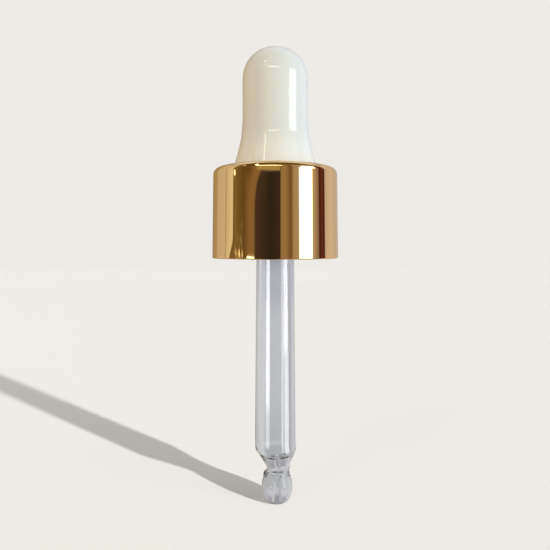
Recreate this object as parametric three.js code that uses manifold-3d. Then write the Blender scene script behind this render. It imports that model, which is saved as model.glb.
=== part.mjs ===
// Medicine dropper: a soft bulb, a threaded cap in a metal shell, and a glass pipette with a ball tip.
// Millimetres, +Z up. The origin is the lowest point of the glass tip, on the axis of the dropper.
import * as THREE from "three";
import { mergeVertices } from "three/addons/utils/BufferGeometryUtils.js";
import Module from "manifold-3d";

const wasm = await Module();
wasm.setup();

// Driving dimensions.
const OVERALL_HEIGHT = 80.7;
const SHELL_BOTTOM = 44.3;
const SHELL_HEIGHT = 15.6;
const SHELL_RADIUS = 11.1; // at the open end
const SHELL_DRAFT = 0.25; // how much smaller the radius is at the closed end
const SHELL_WALL = 0.4;
const BULB_RADIUS = 5.7;
const BULB_WALL = 1.4;
const SKIRT_RADIUS = 7.25; // the bulb's widest place above the shell
const TUBE_RADIUS = 3.34; // where the cap holds the tube
const TUBE_WALL = 0.9;
const BALL_RADIUS = 2.79;
const THREAD_PITCH = 3.175; // eight turns to the inch, as on a standard 18 mm bottle neck
const NECK_WALL_RADIUS = 9.1; // the cap's smooth bore, outside the neck's thread
const FIT_GAP = 0.05; // between pieces that turn on or grip each other

// Roundness of the turned pieces.
const SEGMENTS = 40;
const CURVE_STEPS = 4;

// Levels and radii that more than one piece shares.
const SHELL_TOP = SHELL_BOTTOM + SHELL_HEIGHT;
const CAP_TOP = SHELL_TOP - SHELL_WALL - FIT_GAP;
const CAP_BOTTOM = SHELL_BOTTOM + 0.4; // the shell hides the cap's edge
const CAP_PLATE = 1.3; // thickness of the cap's top plate
const FLANGE_TOP = CAP_TOP - CAP_PLATE - FIT_GAP;
const FLANGE_THICKNESS = 1.5;
const SEAT_LEVEL = FLANGE_TOP - FLANGE_THICKNESS; // the flat ring that seals on the bottle
const SOCKET_TOP = SHELL_TOP + 1.4; // where the bulb's grip on the tube ends
const GROOVE_RADIUS = 6.3; // the bulb's waist, inside the holes of the cap and the shell
const HOLE_RADIUS = GROOVE_RADIUS + FIT_GAP;

// A closed body from an outline of (radius, height) points turned once round the Z axis.
function turn(outline) {
  const geometry = new THREE.LatheGeometry(outline.getPoints(CURVE_STEPS), SEGMENTS);
  return geometry.rotateX(Math.PI / 2);
}

function makePart(name, geometry, finish) {
  const part = new THREE.Mesh(geometry, new THREE.MeshStandardMaterial(finish));
  part.name = name;
  return part;
}

// The bulb: a thin dome and barrel that flare out to a skirt on top of the shell.
// Below it, a waist runs through the cap's hole to the flange that seals on the bottle.
function bulb() {
  const domeHeight = 5.6;
  const domeLevel = OVERALL_HEIGHT - domeHeight;
  const domePullUp = 3.3; // how long the dome keeps the barrel's direction
  const domePullIn = 3.35; // how wide the flat of its top is
  const cavityRadius = BULB_RADIUS - BULB_WALL;
  const socketRadius = TUBE_RADIUS + FIT_GAP;
  const flangeRadius = NECK_WALL_RADIUS - 0.3; // clear of the cap's bore
  const edge = 0.3; // rounding of the flange and of the skirt
  const skirtBottom = SHELL_TOP + FIT_GAP;
  const skirtSlope = 0.28; // how far the skirt leans out at its edge, over its height
  const flareLevel = SHELL_TOP + 6; // where the barrel starts to flare
  const flareRadius = 5.9;
  const flareSlope = 0.14;
  const barrelBottom = SHELL_TOP + 9;
  const skirtTop = skirtBottom + edge;
  const pull = (flareLevel - skirtTop) / 3;
  const outline = new THREE.Path();
  outline.moveTo(0, domeLevel + cavityRadius);
  outline.absarc(0, domeLevel, cavityRadius, Math.PI / 2, 0, true);
  outline.lineTo(cavityRadius, SOCKET_TOP);
  outline.lineTo(socketRadius, SOCKET_TOP);
  outline.lineTo(socketRadius, SEAT_LEVEL);
  outline.lineTo(flangeRadius - edge, SEAT_LEVEL);
  outline.absarc(flangeRadius - edge, SEAT_LEVEL + edge, edge, -Math.PI / 2, 0, false);
  outline.absarc(flangeRadius - edge, FLANGE_TOP - edge, edge, 0, Math.PI / 2, false);
  outline.lineTo(GROOVE_RADIUS, FLANGE_TOP);
  outline.lineTo(GROOVE_RADIUS, skirtBottom);
  outline.absarc(SKIRT_RADIUS - edge, skirtTop, edge, -Math.PI / 2, 0, false);
  outline.bezierCurveTo(
    SKIRT_RADIUS - skirtSlope * pull,
    skirtTop + pull,
    flareRadius + flareSlope * pull,
    flareLevel - pull,
    flareRadius,
    flareLevel,
  );
  outline.lineTo(BULB_RADIUS, barrelBottom);
  outline.lineTo(BULB_RADIUS, domeLevel);
  outline.bezierCurveTo(BULB_RADIUS, domeLevel + domePullUp, domePullIn, OVERALL_HEIGHT, 0, OVERALL_HEIGHT);
  return makePart("bulb", turn(outline), { color: 0xe6e2d8, roughness: 0.25, metalness: 0 });
}

// The shell: a drawn metal cup with a rounded top edge, open below, with a hole for the bulb's waist.
function outerShell() {
  const topRadius = SHELL_RADIUS - SHELL_DRAFT;
  const topRound = 1.1;
  const rimRound = SHELL_WALL / 2;
  const outline = new THREE.Path();
  outline.moveTo(SHELL_RADIUS - SHELL_WALL, SHELL_BOTTOM + rimRound);
  outline.absarc(SHELL_RADIUS - rimRound, SHELL_BOTTOM + rimRound, rimRound, Math.PI, 2 * Math.PI, false);
  outline.absarc(topRadius - topRound, SHELL_TOP - topRound, topRound, 0, Math.PI / 2, false);
  outline.lineTo(HOLE_RADIUS, SHELL_TOP);
  outline.lineTo(HOLE_RADIUS, SHELL_TOP - SHELL_WALL);
  outline.lineTo(topRadius - topRound, SHELL_TOP - SHELL_WALL);
  outline.lineTo(topRadius - SHELL_WALL, SHELL_TOP - topRound);
  outline.closePath();
  return makePart("outer_shell", turn(outline), { color: 0xb08a4a, roughness: 0.12, metalness: 1 });
}

// The cap's inside thread: one ridge that climbs the bore and fades out at both ends.
function threadRidge() {
  const turns = 1.5;
  const start = CAP_BOTTOM + 1.8;
  const depth = 0.75;
  const rootHalfWidth = 0.8;
  const crestHalfWidth = 0.3;
  const fadeShare = 0.1; // share of the length over which each end fades
  const inWall = 0.2; // how far the ridge's root lies inside the wall, so that the two join
  const rootRadius = NECK_WALL_RADIUS + inWall;
  const fadedRadius = NECK_WALL_RADIUS + inWall / 2;
  const crestRadius = NECK_WALL_RADIUS - depth;
  const steps = Math.round(turns * SEGMENTS);
  const positions = [];
  for (let i = 0; i <= steps; i++) {
    const share = i / steps;
    const angle = share * turns * 2 * Math.PI;
    const level = start + share * turns * THREAD_PITCH;
    const fade = Math.min(1, share / fadeShare, (1 - share) / fadeShare);
    const topRadius = fadedRadius + (crestRadius - fadedRadius) * fade;
    const corners = [
      [rootRadius, -rootHalfWidth],
      [rootRadius, rootHalfWidth],
      [topRadius, crestHalfWidth],
      [topRadius, -crestHalfWidth],
    ];
    for (const [radius, offset] of corners) {
      positions.push(radius * Math.cos(angle), radius * Math.sin(angle), level + offset);
    }
  }
  const triangles = [0, 1, 2, 0, 2, 3];
  for (let i = 0; i < steps; i++) {
    for (let corner = 0; corner < 4; corner++) {
      const here = 4 * i + corner;
      const next = 4 * i + ((corner + 1) % 4);
      triangles.push(here, here + 4, next, next, here + 4, next + 4);
    }
  }
  const end = 4 * steps;
  triangles.push(end, end + 2, end + 1, end, end + 3, end + 2);
  const geometry = new THREE.BufferGeometry();
  geometry.setAttribute("position", new THREE.Float32BufferAttribute(positions, 3));
  geometry.setIndex(triangles);
  return geometry;
}

// A manifold-3d solid from a closed geometry, and a geometry from a solid.
function toSolid(geometry) {
  const bare = geometry.clone();
  bare.deleteAttribute("normal");
  bare.deleteAttribute("uv");
  const merged = mergeVertices(bare);
  const vertProperties = new Float32Array(merged.attributes.position.array);
  const triVerts = new Uint32Array(merged.index.array);
  return new wasm.Manifold(new wasm.Mesh({ numProp: 3, vertProperties, triVerts }));
}

function toGeometry(solid) {
  const mesh = solid.getMesh();
  const geometry = new THREE.BufferGeometry();
  geometry.setAttribute("position", new THREE.BufferAttribute(mesh.vertProperties, 3));
  geometry.setIndex(new THREE.BufferAttribute(mesh.triVerts, 1));
  geometry.computeVertexNormals();
  return geometry;
}

// The inner cap: a moulded cup inside the shell, with the thread for the bottle neck.
function innerCap() {
  const capRadius = SHELL_RADIUS - SHELL_DRAFT - SHELL_WALL - FIT_GAP;
  const topChamfer = 0.75; // clears the shell's rounded edge
  const mouthChamfer = 0.3;
  const outline = new THREE.Path();
  outline.moveTo(NECK_WALL_RADIUS + mouthChamfer, CAP_BOTTOM);
  outline.lineTo(capRadius, CAP_BOTTOM);
  outline.lineTo(capRadius, CAP_TOP - topChamfer);
  outline.lineTo(capRadius - topChamfer, CAP_TOP);
  outline.lineTo(HOLE_RADIUS, CAP_TOP);
  outline.lineTo(HOLE_RADIUS, CAP_TOP - CAP_PLATE);
  outline.lineTo(NECK_WALL_RADIUS, CAP_TOP - CAP_PLATE);
  outline.lineTo(NECK_WALL_RADIUS, CAP_BOTTOM + mouthChamfer);
  outline.closePath();
  const cup = toSolid(turn(outline));
  const threaded = cup.add(toSolid(threadRidge()));
  return makePart("inner_cap", toGeometry(threaded), { color: 0xf0efea, roughness: 0.5, metalness: 0 });
}

// The pipette: a tube with a flared lip at the top, that widens a little on its way down to a shoulder,
// then draws in to a neck and ends in a ball with a flat round its mouth. Its bore ends in a round floor
// above the neck, goes on as a fine hole through it and opens into a small cavity in the ball.
function glassPipette() {
  const lipRound = 0.7;
  const lipRadius = TUBE_RADIUS + 0.6;
  const lipLevel = SOCKET_TOP + 0.9; // the centre of the lip's rounding
  const lipTop = lipLevel + lipRound;
  const shoulderLevel = 10.2;
  const shoulderRadius = TUBE_RADIUS + TUBE_WALL * 0.37; // where the glass has thickened in the flame
  const shoulderPull = 1;
  const neckLevel = 5.95;
  const neckRadius = 2.05;
  const neckPullUp = 1.8;
  const neckPullDown = 0.5;
  const ballLevel = 2.95; // the level of the ball's widest place
  const ballPullUp = 1.25;
  const ballPullDown = 1.9;
  const flatRadius = 0.9; // of the flat ring that the ball stands on
  const flatPull = 1.05;
  const mouthRadius = 0.7;
  const mouthRound = 0.2;
  const tipBoreRadius = 0.35; // the narrowest place in the ball
  const tipBoreLevel = 3.1;
  const boreRadius = TUBE_RADIUS - TUBE_WALL;
  const boreBottom = 10.1; // where the wide bore starts to close
  const borePull = 1.4;
  const neckBoreTop = 8.45;
  const neckBorePull = 0.3;
  const neckBoreRadius = 0.3;
  const cavityRadius = 0.8;
  const cavityLevel = 5.1; // the level of the cavity's widest place
  const cavityPull = 0.45;
  const outline = new THREE.Path();
  outline.moveTo(tipBoreRadius, tipBoreLevel);
  outline.lineTo(mouthRadius, mouthRound);
  outline.lineTo(flatRadius, 0);
  outline.bezierCurveTo(
    flatRadius + flatPull,
    0,
    BALL_RADIUS,
    ballLevel - ballPullDown,
    BALL_RADIUS,
    ballLevel,
  );
  outline.bezierCurveTo(
    BALL_RADIUS,
    ballLevel + ballPullUp,
    neckRadius,
    neckLevel - neckPullDown,
    neckRadius,
    neckLevel,
  );
  outline.bezierCurveTo(
    neckRadius,
    neckLevel + neckPullUp,
    shoulderRadius,
    shoulderLevel - shoulderPull,
    shoulderRadius,
    shoulderLevel,
  );
  outline.lineTo(TUBE_RADIUS, SHELL_BOTTOM);
  outline.lineTo(TUBE_RADIUS, SOCKET_TOP);
  outline.absarc(lipRadius - lipRound, lipLevel, lipRound, -Math.PI / 3, Math.PI / 2, false);
  outline.lineTo(boreRadius, lipTop);
  outline.lineTo(boreRadius, boreBottom);
  outline.bezierCurveTo(
    boreRadius,
    boreBottom - borePull,
    neckBoreRadius,
    neckBoreTop + neckBorePull,
    neckBoreRadius,
    neckBoreTop,
  );
  outline.lineTo(neckBoreRadius, neckLevel);
  outline.bezierCurveTo(
    cavityRadius,
    neckLevel,
    cavityRadius,
    cavityLevel + cavityPull,
    cavityRadius,
    cavityLevel,
  );
  outline.closePath();
  return makePart("glass_pipette", turn(outline), { color: 0xc4c6c8, roughness: 0.03, metalness: 0 });
}

const dropper = new THREE.Group();
dropper.add(bulb(), outerShell(), innerCap(), glassPipette());

export default dropper;
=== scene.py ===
"""Medicine dropper: the looks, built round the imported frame. Metres, +Z up, the glass tip at the origin."""

import math

import bpy
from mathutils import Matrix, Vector
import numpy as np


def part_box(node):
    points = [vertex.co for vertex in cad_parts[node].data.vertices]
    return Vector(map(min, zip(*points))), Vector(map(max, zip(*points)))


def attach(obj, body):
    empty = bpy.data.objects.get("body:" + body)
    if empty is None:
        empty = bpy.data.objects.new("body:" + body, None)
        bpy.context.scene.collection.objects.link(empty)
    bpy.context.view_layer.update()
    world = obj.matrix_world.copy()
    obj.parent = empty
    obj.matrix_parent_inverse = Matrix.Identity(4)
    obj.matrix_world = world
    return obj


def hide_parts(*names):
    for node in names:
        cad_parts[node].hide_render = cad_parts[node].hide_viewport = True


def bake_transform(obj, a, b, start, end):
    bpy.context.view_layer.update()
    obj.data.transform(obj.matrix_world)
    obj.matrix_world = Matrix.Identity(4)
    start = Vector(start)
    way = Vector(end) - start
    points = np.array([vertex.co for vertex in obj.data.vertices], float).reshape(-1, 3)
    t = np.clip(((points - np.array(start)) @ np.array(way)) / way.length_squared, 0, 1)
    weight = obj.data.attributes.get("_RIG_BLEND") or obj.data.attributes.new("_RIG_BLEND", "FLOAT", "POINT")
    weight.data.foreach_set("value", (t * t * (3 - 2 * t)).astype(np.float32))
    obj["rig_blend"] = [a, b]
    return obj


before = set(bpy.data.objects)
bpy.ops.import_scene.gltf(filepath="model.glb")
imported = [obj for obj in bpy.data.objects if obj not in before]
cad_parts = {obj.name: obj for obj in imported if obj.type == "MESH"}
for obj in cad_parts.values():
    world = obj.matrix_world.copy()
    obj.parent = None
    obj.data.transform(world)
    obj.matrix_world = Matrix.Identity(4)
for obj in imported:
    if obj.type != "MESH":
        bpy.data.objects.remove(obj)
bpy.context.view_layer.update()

MM = 0.001
SAME_PLACE = 1e-7  # lengths under this count as nothing

# ---------------------------------------------------------------- sizes

# Levels and radii that the frame gives.
bulb_low, bulb_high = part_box("bulb")
shell_low, shell_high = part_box("outer_shell")
cap_low, cap_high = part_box("inner_cap")
pipette_low, pipette_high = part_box("glass_pipette")

DOME_TOP = bulb_high.z
SEAT_LEVEL = bulb_low.z
FLANGE_RADIUS = bulb_high.x
SHELL_TOP = shell_high.z
SHELL_BOTTOM = shell_low.z
SHELL_RADIUS = shell_high.x
CAP_TOP = cap_high.z
CAP_BOTTOM = cap_low.z
CAP_RADIUS = cap_high.x
LIP_RADIUS = pipette_high.x
LIP_TOP = pipette_high.z

# Sizes inside the pieces.
FIT_GAP = 0.05 * MM  # between pieces that turn on or grip each other
BULB_RADIUS = 5.7 * MM
BULB_WALL = 1.4 * MM
SKIRT_RADIUS = 7.25 * MM  # the bulb's widest place above the shell
FLANGE_THICKNESS = 1.5 * MM
GROOVE_RADIUS = 6.3 * MM  # the bulb's waist, inside the holes of the cap and the shell
HOLE_RADIUS = GROOVE_RADIUS + FIT_GAP
SHELL_WALL = 0.4 * MM
SHELL_DRAFT = 0.25 * MM  # how much smaller the radius is at the closed end
CAP_PLATE = 1.3 * MM
NECK_WALL_RADIUS = 9.1 * MM  # the cap's bore, outside the bottle neck's thread
THREAD_PITCH = 3.175 * MM
TUBE_RADIUS = 3.34 * MM  # where the cap holds the tube
TUBE_WALL = 0.9 * MM
SOCKET_TOP = LIP_TOP - 1.6 * MM  # where the bulb's grip on the tube ends
BALL_RADIUS = 2.79 * MM

# ---------------------------------------------------------------- outlines and turned meshes


def line(start, end, steps=1, margin=0.0):
    """Points of (radius, height) after start, up to end.
    With a margin, the first and last stretches are that short, which keeps the shading of a rounded
    corner out of the flat next to it."""
    shares = [i / steps for i in range(1, steps + 1)]
    if margin:
        margin_share = margin / math.dist(start, end)
        shares = [margin_share + (1 - 2 * margin_share) * i / steps for i in range(steps + 1)] + [1.0]
    return [(start[0] + (end[0] - start[0]) * t, start[1] + (end[1] - start[1]) * t) for t in shares]


def arc(centre, radius, start_degrees, end_degrees, steps=10):
    """Points on an arc, both ends included. Zero degrees points away from the axis, 90 points up."""
    points = []
    for i in range(steps + 1):
        angle = math.radians(start_degrees + (end_degrees - start_degrees) * i / steps)
        points.append((centre[0] + radius * math.cos(angle), centre[1] + radius * math.sin(angle)))
    return points


def bezier(start, pull_a, pull_b, end, steps=16):
    """Points after start on a cubic curve."""
    corners = (start, pull_a, pull_b, end)
    points = []
    for i in range(1, steps + 1):
        t = i / steps
        weights = ((1 - t) ** 3, 3 * t * (1 - t) ** 2, 3 * t * t * (1 - t), t ** 3)
        points.append(tuple(sum(w * p[k] for w, p in zip(weights, corners)) for k in (0, 1)))
    return points


def without_repeats(points):
    """The outline without the points that lie on the one before."""
    kept = [points[0]]
    for point in points[1:]:
        if math.dist(point, kept[-1]) > SAME_PLACE:
            kept.append(point)
    return kept


def add_object(name, data):
    """A new object in the scene that holds this mesh, light or camera."""
    added = bpy.data.objects.new(name, data)
    bpy.context.scene.collection.objects.link(added)
    return added


def turn(name, outline, segments=160, sharp_degrees=35, shift=None):
    """A smooth mesh from an outline turned round the Z axis. The outline runs up the outside and down
    the inside. An outline that starts and ends on the axis closes there; any other closes on itself.
    shift(height) gives a small sideways move of the ring at that height."""
    outline = without_repeats(outline)
    on_axis = outline[0][0] < SAME_PLACE
    if not on_axis and math.dist(outline[0], outline[-1]) < SAME_PLACE:
        outline.pop()
    rings, vertices, faces = [], [], []
    for radius, height in outline:
        move_x, move_y = shift(height) if shift else (0.0, 0.0)
        if radius < SAME_PLACE:
            rings.append([len(vertices)])
            vertices.append((move_x, move_y, height))
            continue
        rings.append(list(range(len(vertices), len(vertices) + segments)))
        for i in range(segments):
            angle = 2 * math.pi * i / segments
            vertices.append((radius * math.cos(angle) + move_x, radius * math.sin(angle) + move_y, height))
    pairs = list(zip(rings, rings[1:]))
    if not on_axis:
        pairs.append((rings[-1], rings[0]))
    for lower, upper in pairs:
        for i in range(segments):
            j = (i + 1) % segments
            if len(lower) == 1:
                faces.append((lower[0], upper[j], upper[i]))
            elif len(upper) == 1:
                faces.append((lower[i], lower[j], upper[0]))
            else:
                faces.append((lower[i], lower[j], upper[j], upper[i]))
    mesh = bpy.data.meshes.new(name)
    mesh.from_pydata(vertices, [], faces)
    mesh.polygons.foreach_set("use_smooth", [True] * len(mesh.polygons))
    mesh.set_sharp_from_angle(angle=math.radians(sharp_degrees))
    mesh.validate()
    return add_object(name, mesh)


def smooth_step(value, low, high):
    """0 at low, 1 at high, smooth between, and level outside. High may be the smaller of the two."""
    share = max(0.0, min(1.0, (value - low) / (high - low)))
    return share * share * (3 - 2 * share)


# ---------------------------------------------------------------- node helpers


class Nodes:
    """Short calls for building a node tree."""

    def __init__(self, tree):
        self.tree = tree
        tree.nodes.clear()

    def add(self, kind, inputs=None, **settings):
        node = self.tree.nodes.new(kind)
        for key, value in settings.items():
            setattr(node, key, value)
        for key, value in (inputs or {}).items():
            self.set(node.inputs[key], value)
        return node

    def set(self, socket, value):
        if isinstance(value, bpy.types.NodeSocket):
            self.tree.links.new(value, socket)
        else:
            socket.default_value = value

    def math(self, operation, a, b=0.0):
        return self.add("ShaderNodeMath", {0: a, 1: b}, operation=operation).outputs[0]

    def step(self, value, low, high):
        """0 at low, 1 at high, smooth between, and level outside. High may be the smaller of the two."""
        node = self.add(
            "ShaderNodeMapRange",
            {"Value": value, "From Min": low, "From Max": high},
            interpolation_type="SMOOTHSTEP",
        )
        return node.outputs["Result"]

    def range(self, value, low, high, out_low, out_high):
        """out_low at low, out_high at high, even between, and level outside."""
        node = self.add(
            "ShaderNodeMapRange",
            {"Value": value, "From Min": low, "From Max": high, "To Min": out_low, "To Max": out_high},
        )
        return node.outputs["Result"]

    def mix(self, share, a, b):
        """A colour from a, at share 0, to b, at share 1. Sockets 6, 7 and 2 are the node's colour ones."""
        node = self.add("ShaderNodeMix", {0: share, 6: a, 7: b}, data_type="RGBA", clamp_factor=True)
        return node.outputs[2]

    def noise(self, vector, scale, detail=2.0, roughness=0.5):
        node = self.add(
            "ShaderNodeTexNoise",
            {"Vector": vector, "Scale": scale, "Detail": detail, "Roughness": roughness},
        )
        return node.outputs["Fac"]

    def stretched(self, scale):
        """Object-space position, scaled along each axis."""
        position = self.add("ShaderNodeTexCoord").outputs["Object"]
        return self.add("ShaderNodeVectorMath", {0: position, 1: scale}, operation="MULTIPLY").outputs[0]

    def height(self, position):
        return self.add("ShaderNodeSeparateXYZ", {0: position}).outputs[2]

    def scaled(self, vector, scale):
        node = self.add("ShaderNodeVectorMath", {0: vector, "Scale": scale}, operation="SCALE")
        return node.outputs[0]

    def bump(self, height, distance):
        return self.add("ShaderNodeBump", {"Height": height, "Distance": distance}).outputs["Normal"]

    def surface(self, kind, inputs):
        """Makes a shader of this kind the material's surface."""
        shader = self.add(kind, inputs)
        self.add("ShaderNodeOutputMaterial", {"Surface": shader.outputs[0]})


def colour(red, green, blue):
    """The four numbers that a colour socket takes."""
    return (red, green, blue, 1.0)


def new_material(name):
    """An empty material, and the short calls that build its nodes."""
    material = bpy.data.materials.new(name)
    material.use_nodes = True
    return material, Nodes(material.node_tree)


# ---------------------------------------------------------------- materials


def soft_rubber():
    """Glossy white rubber: a little light passes through it, and the moulded skin is very slightly uneven.
    Its colour is a little whiter at the skirt: painted light, for the brighter light that falls on the flare."""
    material, nodes = new_material("soft_rubber")
    even = nodes.stretched((1, 1, 1))
    skirt_height = 7 * MM
    # painted light: this mask makes the rubber's colour whiter low down on the flare
    skirt = nodes.step(nodes.height(even), SHELL_TOP + skirt_height, SHELL_TOP)
    cloudy = nodes.noise(even, scale=180, detail=3)
    wall = nodes.mix(cloudy, colour(0.75, 0.74, 0.705), colour(0.765, 0.755, 0.73))
    rough = nodes.range(nodes.noise(even, scale=420, detail=3), 0.3, 0.7, 0.035, 0.06)
    skin = nodes.noise(even, scale=900)
    nodes.surface(
        "ShaderNodeBsdfPrincipled",
        {
            "Base Color": nodes.mix(skirt, wall, colour(0.93, 0.90, 0.84)),
            "Roughness": rough,
            "IOR": 1.45,
            "Subsurface Weight": 0.25,
            "Subsurface Radius": (1.2, 0.9, 0.7),
            "Subsurface Scale": 0.6 * MM,
            "Normal": nodes.bump(skin, distance=0.0015 * MM),
        },
    )
    return material


def polished_gold():
    """Gold anodised aluminium: a mirror with a few soft marks, and with faint waves that are longer
    upwards, as the drawn metal has them."""
    material, nodes = new_material("polished_gold")
    smear = nodes.noise(nodes.stretched((1, 1, 1)), scale=260, detail=4)
    base = nodes.mix(smear, colour(0.87, 0.60, 0.28), colour(0.90, 0.63, 0.31))
    rough = nodes.range(smear, 0.35, 0.75, 0.012, 0.03)
    waves = nodes.noise(nodes.stretched((1, 1, 0.25)), scale=160, detail=1)
    nodes.surface(
        "ShaderNodeBsdfPrincipled",
        {
            "Base Color": base,
            "Metallic": 1.0,
            "Roughness": rough,
            "Normal": nodes.bump(waves, distance=0.004 * MM),
        },
    )
    return material


def clear_glass():
    """Drawn glass tube: clear and perfectly smooth, with faint lines along it. The flame left its tip
    a trace duller, so the tip mirrors the room and not the sharp strips."""
    material, nodes = new_material("clear_glass")
    dull_below = 8 * MM
    smooth_above = 9.5 * MM
    drawn = nodes.noise(nodes.stretched((1, 1, 0.03)), scale=1500)
    height = nodes.height(nodes.stretched((1, 1, 1)))
    nodes.surface(
        "ShaderNodeBsdfPrincipled",
        {
            "Base Color": nodes.mix(drawn, colour(0.965, 0.975, 0.98), colour(0.98, 0.985, 0.99)),
            "Roughness": nodes.range(height, dull_below, smooth_above, 0.03, 0.0),
            "IOR": 1.47,
            "Transmission Weight": 1.0,
            "Normal": nodes.bump(drawn, distance=0.002 * MM),
        },
    )
    return material


def moulded_plastic():
    """Natural white polypropylene, lightly frosted by the mould."""
    material, nodes = new_material("moulded_plastic")
    even = nodes.stretched((1, 1, 1))
    grain = nodes.noise(even, scale=2600, detail=3)
    cloudy = nodes.noise(even, scale=300)
    nodes.surface(
        "ShaderNodeBsdfPrincipled",
        {
            "Base Color": nodes.mix(cloudy, colour(0.84, 0.84, 0.82), colour(0.88, 0.88, 0.86)),
            "Roughness": nodes.range(grain, 0.3, 0.7, 0.42, 0.55),
            "Subsurface Weight": 0.2,
            "Subsurface Scale": 0.6 * MM,
            "Normal": nodes.bump(grain, distance=0.01 * MM),
        },
    )
    return material


# ---------------------------------------------------------------- pieces


def bulb():
    """The hollow bulb. Its outline starts at the top of its cavity, goes down the inside and through the
    socket to the flange, and comes up the waist, the skirt, the flare and the barrel to the dome."""
    dome_level = DOME_TOP - 5.6 * MM
    dome_pull_up = 3.3 * MM  # how long the dome keeps the barrel's direction
    dome_pull_in = 3.35 * MM  # how wide the flat of its top is
    cavity_radius = BULB_RADIUS - BULB_WALL
    socket_radius = TUBE_RADIUS + FIT_GAP
    flange_top = SEAT_LEVEL + FLANGE_THICKNESS
    edge = 0.3 * MM  # rounding of the flange and of the skirt
    skirt_bottom = SHELL_TOP + FIT_GAP
    skirt_top = (SKIRT_RADIUS, skirt_bottom + edge)
    skirt_slope = 0.28  # each slope is how far the wall leans out over its height
    flare = (5.95 * MM, SHELL_TOP + 5.55 * MM)
    flare_slope = 0.175
    knee = (5.895 * MM, SHELL_TOP + 6.15 * MM)  # a tighter bend between the flare and the barrel
    knee_slope = 0.065
    knee_pull = 0.2 * MM
    barrel_bottom = (BULB_RADIUS, SHELL_TOP + 9 * MM)
    flare_pull = (flare[1] - skirt_top[1]) / 3
    barrel_pull = (barrel_bottom[1] - knee[1]) / 3
    squeeze_from = SHELL_TOP + 3 * MM
    squeeze_full = SHELL_TOP + 9.5 * MM
    outline = arc((0, dome_level), cavity_radius, 90, 0, 24)
    outline += line(outline[-1], (cavity_radius, SOCKET_TOP), 12)
    outline += line(outline[-1], (socket_radius, SOCKET_TOP))
    outline += line(outline[-1], (socket_radius, SEAT_LEVEL), 4)
    outline += line(outline[-1], (FLANGE_RADIUS - edge, SEAT_LEVEL), 4)
    outline += arc((FLANGE_RADIUS - edge, SEAT_LEVEL + edge), edge, -90, 0, 6)
    outline += arc((FLANGE_RADIUS - edge, flange_top - edge), edge, 0, 90, 6)
    outline += line(outline[-1], (GROOVE_RADIUS, flange_top), 3)
    outline += line(outline[-1], (GROOVE_RADIUS, skirt_bottom), 3)
    outline += arc((SKIRT_RADIUS - edge, skirt_bottom + edge), edge, -90, 0, 8)
    outline += bezier(
        skirt_top,
        (skirt_top[0] - skirt_slope * flare_pull, skirt_top[1] + flare_pull),
        (flare[0] + flare_slope * flare_pull, flare[1] - flare_pull),
        flare,
        24,
    )
    outline += bezier(
        flare,
        (flare[0] - flare_slope * knee_pull, flare[1] + knee_pull),
        (knee[0] + knee_slope * knee_pull, knee[1] - knee_pull),
        knee,
        8,
    )
    outline += bezier(
        knee,
        (knee[0] - knee_slope * barrel_pull, knee[1] + barrel_pull),
        (BULB_RADIUS, barrel_bottom[1] - barrel_pull),
        barrel_bottom,
        12,
    )
    outline += line(barrel_bottom, (BULB_RADIUS, dome_level), 12)
    outline += bezier(
        (BULB_RADIUS, dome_level),
        (BULB_RADIUS, dome_level + dome_pull_up),
        (dome_pull_in, DOME_TOP),
        (0, DOME_TOP),
        40,
    )
    piece = turn("rubber_bulb", outline)
    piece.data.materials.append(soft_rubber())
    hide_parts("bulb")
    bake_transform(piece, "stem", "bulb_wall", (0, 0, SOCKET_TOP), (0, 0, DOME_TOP))
    set_pinch(piece.data, squeeze_from, squeeze_full, dome_level)


def set_pinch(mesh, squeeze_from, squeeze_full, dome_level):
    """Sets how far each point follows the bulb's wall when it is squeezed. Points on the right follow it
    and points on the left go the other way, so the bulb flattens between two fingers."""
    dome_share = 0.4  # what is left of the pinch at the very top
    fade_height = 4 * MM  # how far below the dome the pinch starts to get weaker
    weights = []
    for vertex in mesh.vertices:
        height = vertex.co.z
        share = smooth_step(height, squeeze_from, squeeze_full)
        share *= 1 - (1 - dome_share) * smooth_step(height, dome_level - fade_height, DOME_TOP)
        weights.append(share * vertex.co.x / BULB_RADIUS)
    mesh.attributes["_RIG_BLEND"].data.foreach_set("value", weights)


def shell():
    """The drawn metal cup: open below, rounded at the top, with a hole for the bulb's waist."""
    top_radius = SHELL_RADIUS - SHELL_DRAFT
    top_round = 1.1 * MM
    rim_round = SHELL_WALL / 2
    inside_round = top_round - SHELL_WALL
    hole_round = 0.1 * MM
    flat_margin = 0.08 * MM
    top_corner = (top_radius - top_round, SHELL_TOP - top_round)
    outline = arc((SHELL_RADIUS - rim_round, SHELL_BOTTOM + rim_round), rim_round, 180, 360, 12)
    outline += line(outline[-1], (top_radius, top_corner[1]), 12, margin=flat_margin)
    outline += arc(top_corner, top_round, 0, 90, 14)
    outline += line(outline[-1], (HOLE_RADIUS + hole_round, SHELL_TOP), 4, margin=flat_margin)
    outline += arc((HOLE_RADIUS + hole_round, SHELL_TOP - hole_round), hole_round, 90, 180, 5)
    outline += line(outline[-1], (HOLE_RADIUS, SHELL_TOP - SHELL_WALL))
    outline += line(outline[-1], (top_corner[0], SHELL_TOP - SHELL_WALL), 4)
    outline += arc(top_corner, inside_round, 90, 0, 6)
    outline += line(outline[-1], (SHELL_RADIUS - SHELL_WALL, SHELL_BOTTOM + rim_round), 12)
    piece = turn("gold_shell", outline, segments=256)
    piece.data.materials.append(polished_gold())
    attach(piece, "cap")
    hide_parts("outer_shell")


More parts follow.
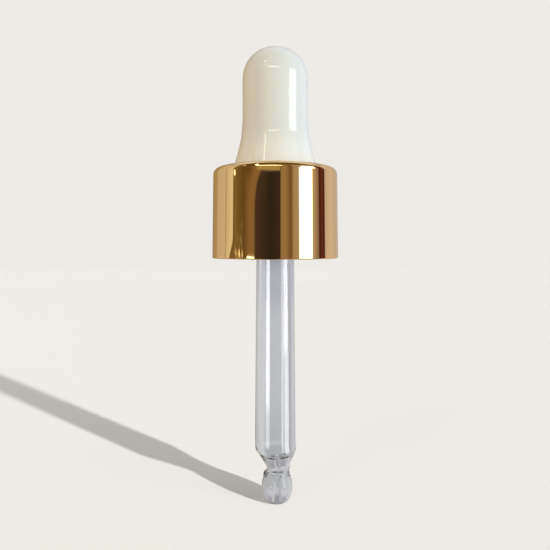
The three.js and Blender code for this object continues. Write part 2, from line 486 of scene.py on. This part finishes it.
def cap():
    """The threaded cap: a turned cup whose bore is pushed inwards along a helix."""
    chamfer = 0.75 * MM
    mouth = 0.3 * MM
    bore_low = CAP_BOTTOM + mouth
    bore_high = CAP_TOP - CAP_PLATE
    bore_steps = 90
    outline = [(NECK_WALL_RADIUS + mouth, CAP_BOTTOM)]
    outline += line(outline[-1], (CAP_RADIUS, CAP_BOTTOM), 2)
    outline += line(outline[-1], (CAP_RADIUS, CAP_TOP - chamfer), 6)
    outline += line(outline[-1], (CAP_RADIUS - chamfer, CAP_TOP))
    outline += line(outline[-1], (HOLE_RADIUS, CAP_TOP), 2)
    outline += line(outline[-1], (HOLE_RADIUS, bore_high), 2)
    outline += line(outline[-1], (NECK_WALL_RADIUS, bore_high), 2)
    outline += line(outline[-1], (NECK_WALL_RADIUS, bore_low), bore_steps)
    piece = turn("threaded_cap", outline)
    raise_thread(piece.data, bore_low)
    piece.data.materials.append(moulded_plastic())
    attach(piece, "cap")
    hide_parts("inner_cap")


def raise_thread(mesh, bore_low):
    """Pushes the wall of the bore inwards along a helix that fades out at both ends."""
    turns = 1.5
    start = CAP_BOTTOM + 1.8 * MM
    depth = 0.75 * MM
    crest_half_width = 0.3 * MM
    root_half_width = 0.8 * MM
    fade_turns = 0.15
    for vertex in mesh.vertices:
        radius = math.hypot(vertex.co.x, vertex.co.y)
        if abs(radius - NECK_WALL_RADIUS) > SAME_PLACE or vertex.co.z < bore_low:
            continue
        part_turn = (math.atan2(vertex.co.y, vertex.co.x) / (2 * math.pi)) % 1.0
        ridge = 0.0
        for whole_turns in (0, 1):
            along = part_turn + whole_turns
            if along > turns:
                continue
            away = abs(vertex.co.z - start - along * THREAD_PITCH)
            fade = min(1.0, along / fade_turns, (turns - along) / fade_turns)
            ridge = max(ridge, fade * (1 - smooth_step(away, crest_half_width, root_half_width)))
        share = (radius - depth * ridge) / radius
        vertex.co.x *= share
        vertex.co.y *= share


def pipette():
    """The glass tube. It was worked by hand in the flame, so its neck and ball stand a little to one side.
    Its outline goes up the outside from the mouth of the tip to the lip, and down the bore."""
    lip_round = 0.7 * MM
    lip_level = LIP_TOP - lip_round
    thickened = 0.33 * MM  # what the flame added to the radius at the shoulder
    shoulder = (TUBE_RADIUS + thickened, 10.2 * MM)
    shoulder_pull = 1.0 * MM
    neck = (2.05 * MM, 5.95 * MM)
    neck_pull_up = 1.8 * MM
    neck_pull_down = 0.5 * MM
    ball = (BALL_RADIUS, 2.95 * MM)
    ball_pull_up = 1.25 * MM
    ball_pull_down = 1.9 * MM
    flat = (0.9 * MM, 0.0)  # the flat ring that the ball stands on
    flat_pull = 1.05 * MM
    mouth = (0.7 * MM, 0.2 * MM)
    mouth_pull = 0.05 * MM
    tip_bore = (0.35 * MM, 3.1 * MM)  # the narrowest place in the ball
    bore_radius = TUBE_RADIUS - TUBE_WALL
    bore_bottom = (bore_radius, 10.1 * MM)  # where the wide bore starts to close
    bore_pull = 1.4 * MM
    neck_bore_radius = 0.3 * MM
    neck_bore_top = (neck_bore_radius, 8.45 * MM)
    neck_bore_pull = 0.3 * MM
    neck_bore_bottom = (neck_bore_radius, neck[1])
    cavity = (0.8 * MM, 5.1 * MM)  # the widest place of the small hollow in the ball
    cavity_pull = 0.45 * MM
    outline = [tip_bore]
    outline += line(tip_bore, mouth, 6)
    outline += bezier(mouth, (mouth[0], mouth_pull), (mouth[0] + mouth_pull, 0), flat, 6)
    outline += bezier(flat, (flat[0] + flat_pull, 0), (ball[0], ball[1] - ball_pull_down), ball, 24)
    outline += bezier(
        ball,
        (ball[0], ball[1] + ball_pull_up),
        (neck[0], neck[1] - neck_pull_down),
        neck,
        20,
    )
    outline += bezier(
        neck,
        (neck[0], neck[1] + neck_pull_up),
        (shoulder[0], shoulder[1] - shoulder_pull),
        shoulder,
        24,
    )
    outline += line(shoulder, (TUBE_RADIUS, SHELL_BOTTOM), 30)
    outline += line(outline[-1], (TUBE_RADIUS, SOCKET_TOP), 12)
    outline += arc((LIP_RADIUS - lip_round, lip_level), lip_round, -60, 90, 12)
    outline += line(outline[-1], (bore_radius, LIP_TOP), 2)
    outline += line(outline[-1], bore_bottom, 30)
    outline += bezier(
        bore_bottom,
        (bore_radius, bore_bottom[1] - bore_pull),
        (neck_bore_top[0], neck_bore_top[1] + neck_bore_pull),
        neck_bore_top,
        24,
    )
    outline += line(neck_bore_top, neck_bore_bottom, 4)
    outline += bezier(
        neck_bore_bottom,
        (cavity[0], neck_bore_bottom[1]),
        (cavity[0], cavity[1] + cavity_pull),
        cavity,
        12,
    )
    outline += line(outline[-1], tip_bore, 8)
    piece = turn("glass_tube", outline, sharp_degrees=50, shift=worked_aside)
    raise_ledge(piece.data)
    piece.data.materials.append(clear_glass())
    piece.visible_diffuse = False  # clear glass doesn't shade the floor round its foot
    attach(piece, "stem")
    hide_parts("glass_pipette")


def worked_aside(height):
    """How far the ring at a height stands aside: the tip leans over, and its neck a little more."""
    tip_lean = 0.31 * MM
    full_below = 8 * MM
    straight_above = 11 * MM
    neck_lean = 0.27 * MM
    neck_level = 6.3 * MM
    neck_spread = 0.9 * MM
    tip = tip_lean * (1 - smooth_step(height, full_below, straight_above))
    neck = neck_lean * math.exp(-(((height - neck_level) / neck_spread) ** 2))
    return (tip + neck, 0.0)


def raise_ledge(mesh):
    """Pushes out the small ledge on the left, where the ball was pressed against the neck in the flame."""
    top = 5.72 * MM
    edge = 5.45 * MM
    foot = 4.4 * MM
    reach = 0.32 * MM
    outside = 1.2 * MM  # points nearer to the axis are on the bore
    for vertex in mesh.vertices:
        height = vertex.co.z
        radius = math.hypot(vertex.co.x, vertex.co.y)
        if radius < outside or not foot < height < top or vertex.co.x > 0:
            continue
        sideways = (vertex.co.x / radius) ** 2
        push = reach * sideways * smooth_step(height, top, edge) * smooth_step(height, foot, edge)
        vertex.co.x *= 1 + push / radius
        vertex.co.y *= 1 + push / radius


# ---------------------------------------------------------------- studio

PALE = colour(0.855, 0.831, 0.791)

# The room that the polished parts mirror. Azimuth 0 is the camera's side and grows towards the right.
# Each stop is the azimuth in degrees and the colour there; between stops the colour runs evenly.
ROOM = (
    (-180, (0.60, 0.62, 0.70)),
    (-158, (0.36, 0.28, 0.14)),
    (-134, (0.46, 0.37, 0.20)),
    (-125, (0.63, 0.56, 0.48)),
    (-102, (0.68, 0.62, 0.58)),
    (-100, (0.40, 0.36, 0.24)),  # the edge of a door
    (-98, (0.64, 0.60, 0.54)),
    (-82, (0.84, 0.80, 0.70)),
    (-80, (0.13, 0.09, 0.04)),  # a brown curtain
    (-76, (0.25, 0.17, 0.06)),
    (-70, (0.19, 0.13, 0.05)),
    (-58, (0.14, 0.085, 0.03)),
    (-46, (0.28, 0.175, 0.085)),
    (-37.5, (0.26, 0.165, 0.08)),
    (-36, (0.070, 0.048, 0.036)),  # the dark figure in front
    (-9, (0.028, 0.026, 0.022)),
    (8.5, (0.045, 0.030, 0.025)),
    (10, (0.33, 0.245, 0.14)),  # wood
    (17, (0.35, 0.255, 0.15)),
    (27, (0.19, 0.115, 0.06)),
    (30, (0.25, 0.16, 0.09)),
    (32, (0.42, 0.34, 0.24)),  # the window's frame
    (40, (0.42, 0.38, 0.33)),
    (71, (0.53, 0.47, 0.42)),
    (83, (0.29, 0.19, 0.17)),
    (85.5, (0.05, 0.010, 0.012)),  # a dark red curtain
    (92, (0.145, 0.045, 0.030)),
    (99, (0.05, 0.010, 0.010)),
    (100.5, (0.60, 0.56, 0.62)),
    (118, (0.71, 0.65, 0.69)),
    (140, (0.58, 0.53, 0.51)),
    (180, (0.60, 0.62, 0.70)),
)

# Things in the room with a top and a bottom. Each has an azimuth from and to, an elevation from and to,
# the softness of its edge, all in degrees, and its colour.
CARDS = {
    "wall_over_figure": (-33, 8.5, 9.9, 31, 0.12, (0.43, 0.345, 0.18)),
    "dark_ceiling": (-179, 179, 41, 100, 2, (0.14, 0.10, 0.04)),
    "low_window": (43, 69, -10, 12.5, 0.7, (4.4, 4.5, 4.6)),
    "high_window": (48.5, 76, 12.5, 26.3, 0.7, (6.2, 6.4, 6.5)),
    "standing_light": (-37.5, -33.5, 31, 41, 0.7, (8.0, 7.1, 5.4)),
    "far_light": (-45, -37, 45, 50, 0.7, (14.0, 13.0, 11.0)),
    "further_light": (-68, -61, 36, 39, 1.0, (2.6, 2.2, 1.7)),
    "curtain_glint": (-79.5, -76.5, 8.95, 9.4, 0.2, (3.6, 3.4, 2.6)),
    "bright_sill": (-51, -37, -4, 0.5, 0.1, (6.0, 6.0, 5.2)),
}

# The bright strips that the glass mirrors, in the same form.
GLASS_STRIPS = {
    "left_strip": (-56, -32, -17, 3, 1.5, (13, 13, 13)),
    "left_strip_below": (-55, -33, -22.5, -17, 1.5, (7, 7, 7)),
    "pale_left_strip": (-81, -64, -40, 20, 4, (2.0, 2.0, 2.0)),
    "right_strip": (50, 79, -11, 12, 1.5, (12.5, 12.8, 13.1)),
    "right_strip_below": (54, 83, -30, -11, 1.5, (7.5, 7.8, 8.1)),
    "pale_right_strip": (35, 48, -22, 20, 2, (6.5, 6.5, 6.6)),
}


def within(nodes, value, low, high, soft):
    """1 between low and high, 0 outside, with soft edges."""
    above = nodes.step(value, low - soft, low + soft)
    beyond = nodes.step(value, high - soft, high + soft)
    return nodes.math("SUBTRACT", above, beyond)


def studio_world():
    """The camera sees a plain pale backdrop, and each kind of bounced light has surroundings of its own."""
    world = bpy.data.worlds.new("studio")
    bpy.context.scene.world = world
    world.use_nodes = True
    nodes = Nodes(world.node_tree)
    direction = nodes.add("ShaderNodeTexCoord").outputs["Generated"]
    right, back, up = nodes.add("ShaderNodeSeparateXYZ", {0: direction}).outputs
    front = nodes.math("MULTIPLY", back, -1.0)
    azimuth = nodes.math("DEGREES", nodes.math("ARCTAN2", right, front))
    elevation = nodes.math("DEGREES", nodes.math("ARCSINE", up))
    rays = nodes.add("ShaderNodeLightPath").outputs
    shade = mirrored_room(nodes, azimuth, elevation, front, rays["Is Singular Ray"])
    shade = nodes.mix(rays["Is Transmission Ray"], shade, behind_the_glass(nodes, elevation, right, front))
    shade = nodes.mix(rays["Is Diffuse Ray"], shade, soft_light(nodes, right, front, up))
    shade = nodes.mix(rays["Is Camera Ray"], shade, PALE)
    background = nodes.add("ShaderNodeBackground", {"Color": shade})
    nodes.add("ShaderNodeOutputWorld", {"Surface": background.outputs[0]})


def with_cards(nodes, azimuth, elevation, shade, cards):
    """The shade with the cards laid over it."""
    for azimuth_from, azimuth_to, elevation_from, elevation_to, soft, card_shade in cards.values():
        across = within(nodes, azimuth, azimuth_from, azimuth_to, soft)
        upward = within(nodes, elevation, elevation_from, elevation_to, soft)
        shade = nodes.mix(nodes.math("MULTIPLY", across, upward), shade, colour(*card_shade))
    return shade


def mirrored_room(nodes, azimuth, elevation, front, off_smooth_glass):
    """What the gold and the shine of the rubber show, and for a ray off the perfectly smooth glass, its
    strips. Behind the object, the ceiling is pale."""
    walls = room_walls(nodes, azimuth, elevation)
    glass_shine = with_cards(nodes, azimuth, elevation, walls, GLASS_STRIPS)
    room = nodes.mix(curtain_folds(nodes, azimuth, elevation), walls, colour(4.0, 3.6, 2.5))
    room = with_cards(nodes, azimuth, elevation, room, CARDS)
    pale_ceiling = nodes.math("MULTIPLY", nodes.step(front, 0.12, -0.05), nodes.step(elevation, 25, 65))
    room = nodes.mix(pale_ceiling, room, colour(0.88, 0.88, 1.0))
    return nodes.mix(off_smooth_glass, room, glass_shine)


def room_walls(nodes, azimuth, elevation):
    """The colours of ROOM. The dark figure has a round shoulder on its left, and the brown curtain is
    wider at its foot."""
    shoulder_width = 11  # degrees
    foot_width = 11
    shoulder = nodes.math("POWER", nodes.range(elevation, 5, 9.8, 0, 1), 3)
    narrower = nodes.math("MULTIPLY", shoulder, -shoulder_width)
    narrower = nodes.math("MULTIPLY", narrower, within(nodes, azimuth, -52, -16, 6))
    wider = nodes.math("MULTIPLY", nodes.step(elevation, 2.4, -1), foot_width)
    wider = nodes.math("MULTIPLY", wider, within(nodes, azimuth, -97, -70, 4))
    bent_azimuth = nodes.math("ADD", azimuth, nodes.math("ADD", narrower, wider))
    ramp = nodes.add("ShaderNodeValToRGB", {"Fac": nodes.range(bent_azimuth, -180, 180, 0, 1)})
    stops = ramp.color_ramp.elements  # a new ramp has two stops
    for index, (place, shade) in enumerate(ROOM):
        position = (place + 180) / 360
        stop = stops[index] if index < 2 else stops.new(position)
        stop.position = position
        stop.color = colour(*shade)
    return ramp.outputs["Color"]


def curtain_folds(nodes, azimuth, elevation):
    """Thin upright folds in the brown curtain that catch the light, faintly up to the middle of it and
    fully at its foot."""
    slower_upward = nodes.math("MULTIPLY", elevation, 0.55)
    place = nodes.add("ShaderNodeCombineXYZ", {0: azimuth, 1: slower_upward}).outputs[0]
    folds = nodes.step(nodes.noise(place, scale=0.55, detail=3, roughness=0.6), 0.52, 0.72)
    faint = nodes.math("MULTIPLY", nodes.step(elevation, 6.5, 4), 0.09)
    lit = nodes.math("ADD", faint, nodes.step(elevation, 1.4, 0.6))
    folds = nodes.math("MULTIPLY", folds, lit)
    return nodes.math("MULTIPLY", folds, within(nodes, azimuth, -76, -60, 3))


def behind_the_glass(nodes, elevation, right, front):
    """What is seen through the glass, in layers over a plain grey."""
    turned_back = nodes.math("MULTIPLY", nodes.step(front, 0.1, 0.5), nodes.step(elevation, -38, -28))
    layers = (
        (nodes.step(elevation, -25, -15), (0.595, 0.595, 0.62)),  # lighter above the tip
        (nodes.step(elevation, -9, -5), (0.50, 0.50, 0.55)),  # darker and bluer towards the shell
        # painted shade: the shell's shadow, as seen through the top of the tube
        (nodes.step(elevation, -4, -1.5), (0.37, 0.37, 0.41)),
        (nodes.step(right, -0.3, -0.65), (0.62, 0.62, 0.63)),  # lighter on the left
        (nodes.step(right, 0.3, 0.65), (0.46, 0.46, 0.475)),  # a little darker on the right
        (nodes.step(elevation, -50, -70), (0.38, 0.38, 0.39)),  # bent steeply down, into painted shade that stands for the shadowed paper round the foot
        (turned_back, (0.12, 0.125, 0.12)),  # bent back to the front
        (nodes.step(elevation, 18, 40), (0.20, 0.21, 0.20)),  # bent up
    )
    shade = colour(0.475, 0.485, 0.495)
    for share, layer_shade in layers:
        shade = nodes.mix(share, shade, colour(*layer_shade))
    return shade


def soft_light(nodes, right, front, up):
    """The even light on the rubber, the plastic and the floor, and how it changes towards each side."""
    total = (0.815, 0.805, 0.78)
    changes = ((right, (0.146, 0.35, 0.538)), (front, (0.076, 0.097, 0.0)), (up, (-0.17, -0.137, -0.09)))
    for amount, shade in changes:
        part = nodes.scaled(shade, amount)
        total = nodes.add("ShaderNodeVectorMath", {0: total, 1: part}, operation="ADD").outputs[0]
    return total


def rectangle(name, half_width, half_height):
    """A flat mesh of one face, round the origin."""
    x, y = half_width, half_height
    mesh = bpy.data.meshes.new(name)
    mesh.from_pydata([(-x, -y, 0), (x, -y, 0), (x, y, 0), (-x, y, 0)], [], [(0, 1, 2, 3)])
    return mesh


def ceiling_lamp():
    """A long thin lamp in front, which only shows as a fine line in the shine of the bulb and the shell."""
    distance = 2.0
    azimuth = math.radians(-8.8)
    elevation = math.radians(31.4)
    half_width = distance * math.tan(math.radians(18.3))
    half_height = distance * math.tan(math.radians(0.9))
    lamp = add_object("ceiling_lamp", rectangle("ceiling_lamp", half_width, half_height))
    material, nodes = new_material("lamp_tube")
    nodes.surface("ShaderNodeEmission", {"Color": colour(1.0, 0.96, 0.82), "Strength": 15.0})
    lamp.data.materials.append(material)
    level = math.cos(elevation)
    toward = Vector((math.sin(azimuth) * level, -math.cos(azimuth) * level, math.sin(elevation)))
    lamp.location = toward * distance + Vector((0, 0, SHELL_TOP))
    lamp.rotation_euler = toward.to_track_quat("Z", "Y").to_euler()
    lamp.visible_camera = False
    lamp.visible_diffuse = False
    lamp.visible_transmission = False
    lamp.visible_shadow = False


# The small lamp that throws the shadow.
LAMP_AZIMUTH = math.radians(48.3)
LAMP_DISTANCE = 365 * MM
LAMP_HEIGHT = 110 * MM
LAMP_PLACE = Vector(
    (LAMP_DISTANCE * math.sin(LAMP_AZIMUTH), -LAMP_DISTANCE * math.cos(LAMP_AZIMUTH), LAMP_HEIGHT)
)
LAMP_SHARE = 0.567  # the lamp's share of the light on the floor at the object's foot


def floor_material():
    """Pale paper, which turns into the backdrop far out. Its shade makes up for the lamp's slant, so that
    the lit floor is even, and gets a little darker towards the back."""
    material, nodes = new_material("pale_paper")
    backdrop_from = 0.5
    backdrop_full = 1.2
    position = nodes.add("ShaderNodeNewGeometry").outputs["Position"]
    lamp_distance = nodes.add("ShaderNodeVectorMath", {0: position, 1: LAMP_PLACE}, operation="DISTANCE")
    slant = nodes.math("DIVIDE", LAMP_PLACE.length, lamp_distance.outputs["Value"])
    light = nodes.math("ADD", nodes.math("MULTIPLY", slant, LAMP_SHARE), 1 - LAMP_SHARE)
    depth = nodes.add("ShaderNodeSeparateXYZ", {0: position}).outputs[1]
    nearer = nodes.range(depth, 0, 0.45, 1.045, 0.98)
    shade = nodes.scaled((0.540, 0.511, 0.476), nodes.math("DIVIDE", nearer, light))
    paper = nodes.add("ShaderNodeBsdfDiffuse", {"Color": shade})
    backdrop = nodes.add("ShaderNodeEmission", {"Color": PALE})
    from_centre = nodes.add("ShaderNodeVectorMath", {0: position}, operation="LENGTH").outputs["Value"]
    fade = nodes.step(from_centre, backdrop_from, backdrop_full)
    nodes.surface("ShaderNodeMixShader", {0: fade, 1: paper.outputs[0], 2: backdrop.outputs[0]})
    return material


def studio_floor():
    """A wide floor just under the tip of the glass. It bounces no light back."""
    half_width = 8.0
    clearance = 0.01 * MM
    floor = add_object("studio_floor", rectangle("studio_floor", half_width, half_width))
    floor.data.materials.append(floor_material())
    floor.location.z = pipette_low.z - clearance
    floor.visible_diffuse = False
    floor.visible_glossy = False
    floor.visible_transmission = False
    return floor


def shadow_lamp(floor):
    """A small lamp on the right in front, which lights the floor only and throws the shadow on it."""
    light = bpy.data.lights.new("shadow_lamp", "POINT")
    light.energy = 1.0
    light.shadow_soft_size = 6 * MM
    light.use_nodes = True
    nodes = Nodes(light.node_tree)
    strength = nodes.add("ShaderNodeLightFalloff", {"Strength": 108.0}).outputs["Constant"]
    emission = nodes.add("ShaderNodeEmission", {"Color": colour(0.93, 0.967, 1.0), "Strength": strength})
    nodes.add("ShaderNodeOutputLight", {"Surface": emission.outputs[0]})
    lamp = add_object("shadow_lamp", light)
    lamp.location = LAMP_PLACE
    receivers = bpy.data.collections.new("lit_by_shadow_lamp")
    receivers.objects.link(floor)
    lamp.light_linking.receiver_collection = receivers
    lamp.visible_glossy = False
    lamp.visible_transmission = False


def camera():
    """A near camera, a little above the shell's edge, that looks slightly down."""
    distance = 94.1 * MM
    aside = -0.05 * MM
    height = SHELL_BOTTOM + 2.36 * MM
    pitch_degrees = 3.27
    data = bpy.data.cameras.new("camera")
    data.sensor_width = 36
    data.lens = 34.691
    data.clip_start = 5 * MM
    data.clip_end = 20
    eye = add_object("camera", data)
    eye.location = (aside, -distance, height)
    eye.rotation_euler = (math.radians(90 - pitch_degrees), 0, 0)
    bpy.context.scene.camera = eye


# ---------------------------------------------------------------- the scene

bulb()
shell()
cap()
pipette()
studio_world()
ceiling_lamp()
shadow_lamp(studio_floor())
camera()
bpy.context.scene.view_settings.view_transform = "Standard"
